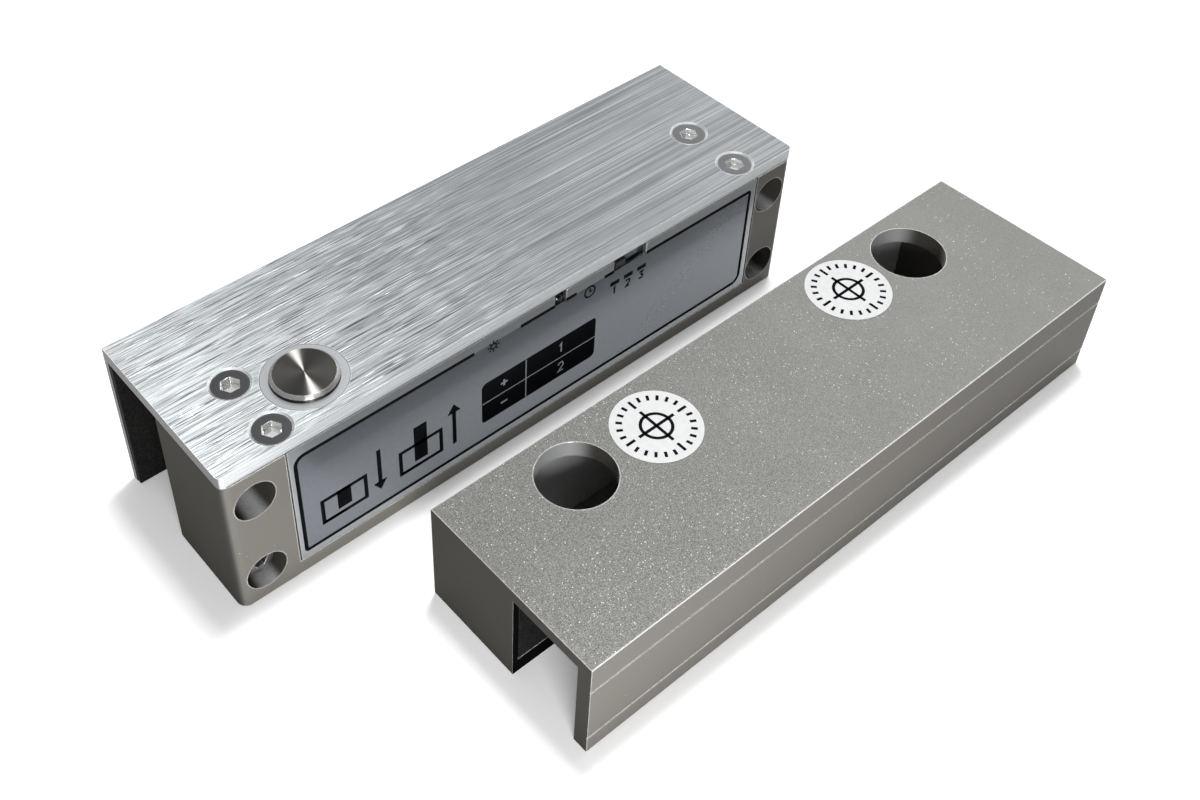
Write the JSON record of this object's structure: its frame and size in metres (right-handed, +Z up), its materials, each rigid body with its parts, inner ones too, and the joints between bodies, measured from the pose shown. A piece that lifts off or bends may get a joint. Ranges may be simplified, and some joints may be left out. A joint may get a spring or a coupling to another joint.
{
  "type": "electric drop bolt lock",
  "caption": "Electric drop-bolt lock for a frameless glass door: clamp-on bolt unit with brushed face plate, and matching clamp-on strike unit.",
  "frame": {"origin": "centre of the whole set on the surface that both units stand on", "axes": "+X along the length of the units, towards the cable end; +Y from the strike to the lock; +Z up, the way the bolt shoots"},
  "size_m": [0.205, 0.1212, 0.045],
  "materials": {
    "blasted_aluminium": "bead blasted, satin anodised",
    "brushed_aluminium": "brushed along its length",
    "stainless": "turned",
    "dark_steel": "plain",
    "bush_steel": "fine turned",
    "zinc_steel": "zinc plated",
    "label_film": "printed film",
    "black_rubber": "matt",
    "nylon": "moulded",
    "enamelled_copper": "enamelled wire",
    "board_green": "solder mask",
    "black_plastic": "moulded",
    "relay_blue": "moulded",
    "terminal_green": "moulded",
    "lamp_dark": "tinted resin, unlit",
    "reed_glass": "tinted tube",
    "magnet_nickel": "nickel plated",
    "disc_white": "white film"
  },
  "bodies": {
    "lock_body": {"lock_housing": "blasted_aluminium", "face_plate": "brushed_aluminium", "face_plate_screws": "dark_steel", "front_cover": "blasted_aluminium", "front_label": "label_film", "cover_screws": "stainless", "lock_glass_pad": "black_rubber", "bolt_guide_bush": "bush_steel", "return_spring": "stainless", "solenoid_frame": "zinc_steel", "solenoid_bobbin": "nylon", "solenoid_coil": "enamelled_copper", "pole_piece": "dark_steel", "solenoid_screws": "stainless", "circuit_board": "board_green", "board_screws": "stainless", "indicator_lamp": "lamp_dark", "delay_switch_case": "zinc_steel", "position_sensor": "reed_glass", "relay": "relay_blue", "capacitor": "relay_blue", "driver_chip": "black_plastic", "wire_terminal": "terminal_green", "cable_grommet": "black_rubber"},
    "bolt_group": {"bolt": "stainless", "bolt_pin": "dark_steel"},
    "plunger_group": {"plunger": "dark_steel", "plunger_pin": "stainless", "cam_plate": "zinc_steel", "spring_collar": "stainless"},
    "switch_slider": {"delay_switch_slider": "black_plastic"},
    "left_clamp": {"left_clamp_plate": "stainless", "left_clamp_pad": "black_rubber", "left_clamp_screws": "dark_steel"},
    "right_clamp": {"right_clamp_plate": "stainless", "right_clamp_pad": "black_rubber", "right_clamp_screws": "dark_steel"},
    "strike_body": {"strike_housing": "blasted_aluminium", "strike_base": "blasted_aluminium", "strike_base_screws": "stainless", "strike_glass_pad": "black_rubber", "left_magnet_holder": "nylon", "right_magnet_holder": "nylon", "left_magnet": "magnet_nickel", "right_magnet": "magnet_nickel", "left_position_disc": "disc_white", "right_position_disc": "disc_white"},
    "strike_left_clamp": {"strike_left_clamp_plate": "stainless", "strike_left_clamp_pad": "black_rubber", "strike_left_clamp_screw": "dark_steel"},
    "strike_right_clamp": {"strike_right_clamp_plate": "stainless", "strike_right_clamp_pad": "black_rubber", "strike_right_clamp_screw": "dark_steel"}
  },
  "joints": [
    {"name": "bolt_throw", "type": "slide", "parent": "lock_body", "child": "bolt_group", "axis": [0, 0, 1], "range_m": [0, 0.014]},
    {"name": "plunger_stroke", "type": "slide", "parent": "lock_body", "child": "plunger_group", "axis": [1, 0, 0], "range_m": [0, 0.012], "stiffness_N_per_m": 320, "springref_m": -0.012, "deforming": ["return_spring"]},
    {"name": "delay_select", "type": "slide", "parent": "lock_body", "child": "switch_slider", "axis": [1, 0, 0], "range_m": [0, 0.005]},
    {"name": "left_clamp_travel", "type": "slide", "parent": "lock_body", "child": "left_clamp", "axis": [0, 1, 0], "range_m": [0, 0.0065]},
    {"name": "right_clamp_travel", "type": "slide", "parent": "lock_body", "child": "right_clamp", "axis": [0, 1, 0], "range_m": [0, 0.0065]},
    {"name": "strike_place", "type": "slide", "parent": "lock_body", "child": "strike_body", "axis": [0, -1, 0], "range_m": [0, 0.03]},
    {"name": "strike_left_clamp_travel", "type": "slide", "parent": "strike_body", "child": "strike_left_clamp", "axis": [0, -1, 0], "range_m": [0, 0.006]},
    {"name": "strike_right_clamp_travel", "type": "slide", "parent": "strike_body", "child": "strike_right_clamp", "axis": [0, -1, 0], "range_m": [0, 0.006]}
  ],
  "couplings": [
    {"joint": "plunger_stroke", "follows": "bolt_throw", "ratio": 0.85714}
  ]
}
